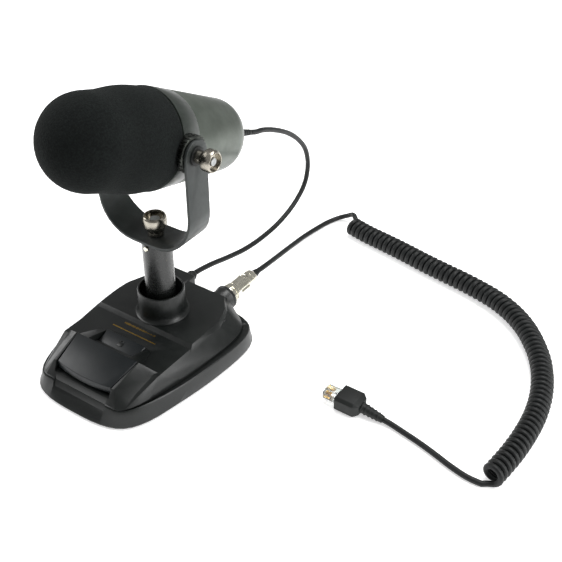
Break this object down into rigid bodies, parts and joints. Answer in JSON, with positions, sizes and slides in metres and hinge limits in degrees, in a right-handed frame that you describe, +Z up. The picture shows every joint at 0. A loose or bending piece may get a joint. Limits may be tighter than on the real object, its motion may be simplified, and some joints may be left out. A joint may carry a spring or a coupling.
{
  "type": "desktop microphone",
  "caption": "Desktop microphone with a foam-covered head in a tilting yoke on a short post, a weighted base with talk bar and lock button, and a coiled cord.",
  "frame": {"origin": "on the table, at the middle of the footprint of the object without its free cords", "axes": "+Z up, -Y towards the person speaking, +X to the side of the round connector"},
  "size_m": [0.385, 0.3649, 0.2545],
  "materials": {
    "base_plastic": "satin moulded black plastic",
    "button_plastic": "satin charcoal plastic",
    "gloss_black": "glossy black",
    "steel": "plain zinc-plated steel",
    "nickel": "polished nickel plate",
    "board": "green circuit board",
    "rubber": "matt black rubber",
    "dark_metal": "satin black paint",
    "yoke_paint": "satin dark grey paint",
    "housing": "satin dark grey paint",
    "foam": "fine open-cell black foam",
    "mesh_metal": "woven steel mesh",
    "cord_pvc": "satin black soft plastic",
    "clear_plastic": "clear polycarbonate"
  },
  "bodies": {
    "base": {"base_tray": "base_plastic", "base_cover": "base_plastic", "ballast_weight": "steel", "circuit_board": "board", "talk_switch": "gloss_black", "lock_switch": "gloss_black", "base_screw_1": "steel", "base_screw_2": "steel", "base_screw_3": "steel", "base_screw_4": "steel", "foot_1": "rubber", "foot_2": "rubber", "foot_3": "rubber", "foot_4": "rubber", "talk_bar_pin": "steel", "talk_bar_spring": "steel", "lock_spring": "steel", "post_tube": "gloss_black", "post_bush": "steel", "post_stud": "nickel", "post_nut": "steel", "post_collar": "base_plastic", "post_set_screw": "nickel", "panel_socket": "gloss_black", "socket_insert": "gloss_black", "plug_shell": "nickel", "plug_clamp": "nickel", "plug_sleeve": "rubber", "base_gland": "rubber", "link_lead_base": "cord_pvc", "cord_lead_socket": "cord_pvc", "cord_coil": "cord_pvc", "cord_lead_plug": "cord_pvc", "plug_boot": "rubber", "modular_plug": "clear_plastic"},
    "talk_bar": {"talk_bar": "button_plastic"},
    "lock_button": {"lock_button": "button_plastic"},
    "yoke_knob": {"yoke_knob": "nickel"},
    "yoke": {"yoke": "yoke_paint", "pivot_washer_right": "rubber", "pivot_washer_left": "rubber"},
    "head": {"head_body": "housing", "front_ring": "dark_metal", "foam_windscreen": "foam", "grille_basket": "mesh_metal", "capsule": "nickel", "capsule_mount": "rubber", "head_board": "board", "head_gland": "rubber", "pivot_stud_right": "steel", "pivot_stud_left": "steel", "rosette_right": "dark_metal", "rosette_left": "dark_metal", "link_lead_head": "cord_pvc"},
    "tilt_knob_right": {"tilt_knob_right": "nickel"},
    "tilt_knob_left": {"tilt_knob_left": "nickel"},
    "coupling_ring": {"coupling_ring": "nickel"},
    "plug_latch": {"plug_latch": "clear_plastic"}
  },
  "joints": [
    {"name": "yoke_swivel", "type": "hinge", "parent": "base", "child": "yoke", "pos_m": [0, -0.0086, 0.108], "axis": [0, 0, 1], "range_deg": [-150, 150], "deforming": ["link_lead_base"]},
    {"name": "head_tilt", "type": "hinge", "parent": "yoke", "child": "head", "pos_m": [0, -0.0086, 0.1945], "axis": [1, 0, 0], "range_deg": [-25, 65], "deforming": ["link_lead_head"]},
    {"name": "yoke_knob_turn", "type": "hinge", "parent": "base", "child": "yoke_knob", "pos_m": [0, -0.0086, 0.115], "axis": [0, 0, 1], "continuous": true},
    {"name": "tilt_knob_right_turn", "type": "hinge", "parent": "head", "child": "tilt_knob_right", "pos_m": [0.055, -0.0086, 0.1945], "axis": [1, 0, 0], "continuous": true},
    {"name": "tilt_knob_left_turn", "type": "hinge", "parent": "head", "child": "tilt_knob_left", "pos_m": [-0.055, -0.0086, 0.1945], "axis": [1, 0, 0], "continuous": true},
    {"name": "talk_bar_press", "type": "hinge", "parent": "base", "child": "talk_bar", "pos_m": [0, -0.0801, 0.0272], "axis": [1, 0, 0], "range_deg": [0, 3], "stiffness_Nm_per_rad": 1.2, "springref_deg": -2.86, "deforming": ["talk_bar_spring"]},
    {"name": "lock_button_press", "type": "slide", "parent": "base", "child": "lock_button", "axis": [0, 0, -1], "range_m": [0, 0.002], "stiffness_N_per_m": 500, "springref_m": -0.002, "deforming": ["lock_spring"]},
    {"name": "coupling_ring_turn", "type": "hinge", "parent": "base", "child": "coupling_ring", "pos_m": [0.0245, 0.0514, 0.021], "axis": [0, 1, 0], "continuous": true},
    {"name": "plug_latch_press", "type": "hinge", "parent": "base", "child": "plug_latch", "pos_m": [0.1543, 0.008, 0.0109], "axis": [0, 1, 0], "range_deg": [-5, 0], "stiffness_Nm_per_rad": 0.05, "springref_deg": 1.15}
  ]
}
